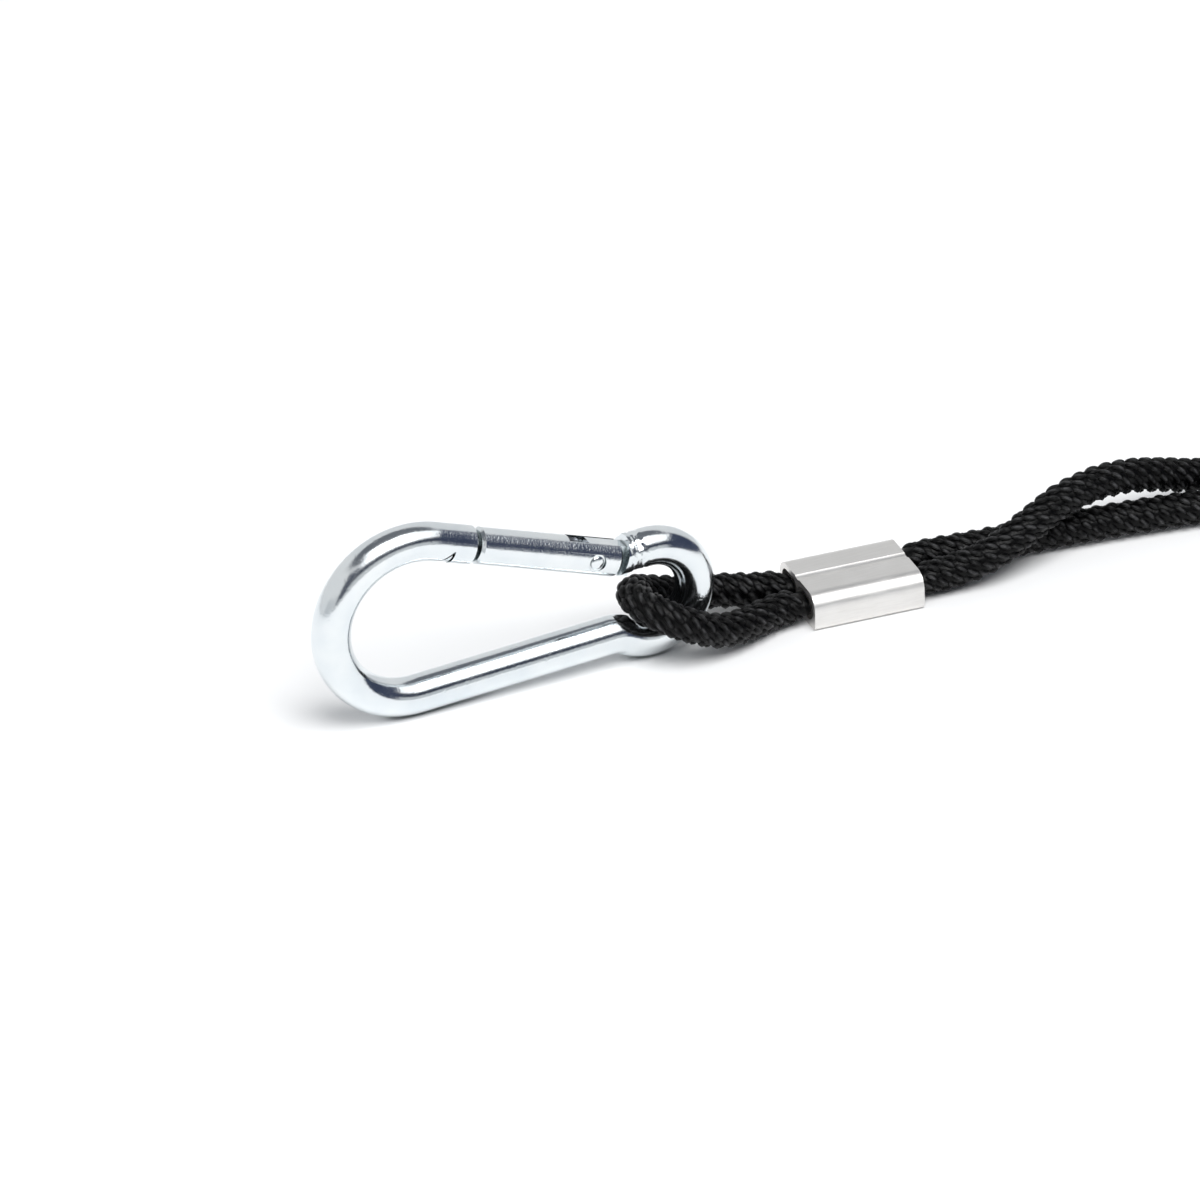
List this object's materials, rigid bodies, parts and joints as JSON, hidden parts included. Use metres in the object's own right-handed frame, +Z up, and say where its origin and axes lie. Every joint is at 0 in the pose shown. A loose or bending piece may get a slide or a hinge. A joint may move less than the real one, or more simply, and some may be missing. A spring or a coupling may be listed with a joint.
{
  "type": "rope sling with snap hook",
  "caption": "Short doubled braided-rope sling with a spring snap hook at one end, pressed ferrules and a soft eye.",
  "frame": {"origin": "middle of the box around the hook and both ferrules, on the surface the sling lies on", "axes": "+X from the hook to the soft eye, +Y across the sling, +Z up"},
  "size_m": [0.5223, 0.0708, 0.0586],
  "materials": {
    "zinc_steel": "bright zinc plate over round bar",
    "spring_steel": "bright wire",
    "pressed_aluminium": "satin, as pressed",
    "black_braid": "satin braided multifilament",
    "core_yarn": "straight yarn"
  },
  "bodies": {
    "sling": {"hook_end_ferrule": "pressed_aluminium", "far_end_ferrule": "pressed_aluminium", "crimped_rope_hook_end": "black_braid", "crimped_rope_far_end": "black_braid", "sheath_hook_loop": "black_braid", "sheath_upper_leg": "black_braid", "sheath_lower_leg": "black_braid", "sheath_far_eye": "black_braid", "core_hook_loop": "core_yarn", "core_upper_leg": "core_yarn", "core_lower_leg": "core_yarn", "core_far_eye": "core_yarn"},
    "hook": {"hook_frame": "zinc_steel"},
    "gate": {"gate": "zinc_steel", "gate_rivet": "zinc_steel", "gate_spring": "spring_steel"},
    "plunger": {"gate_plunger": "zinc_steel"}
  },
  "joints": [
    {"name": "hook_swing", "type": "hinge", "parent": "sling", "child": "hook", "pos_m": [-0.1119, 0, 0.0197], "axis": [0, 1, 0], "range_deg": [0, 90]},
    {"name": "gate_hinge", "type": "hinge", "parent": "hook", "child": "gate", "pos_m": [-0.1292, 0, 0.03534], "axis": [0, -1, 0], "range_deg": [0, 42], "stiffness_Nm_per_rad": 0.09, "springref_deg": -34.38},
    {"name": "plunger_slide", "type": "slide", "parent": "gate", "child": "plunger", "axis": [-0.9432, 0, 0.3322], "range_m": [0, 0.0025], "deforming": ["gate_spring"]}
  ],
  "couplings": [
    {"joint": "plunger_slide", "follows": "gate_hinge", "m_per_rad": 0.0032}
  ]
}
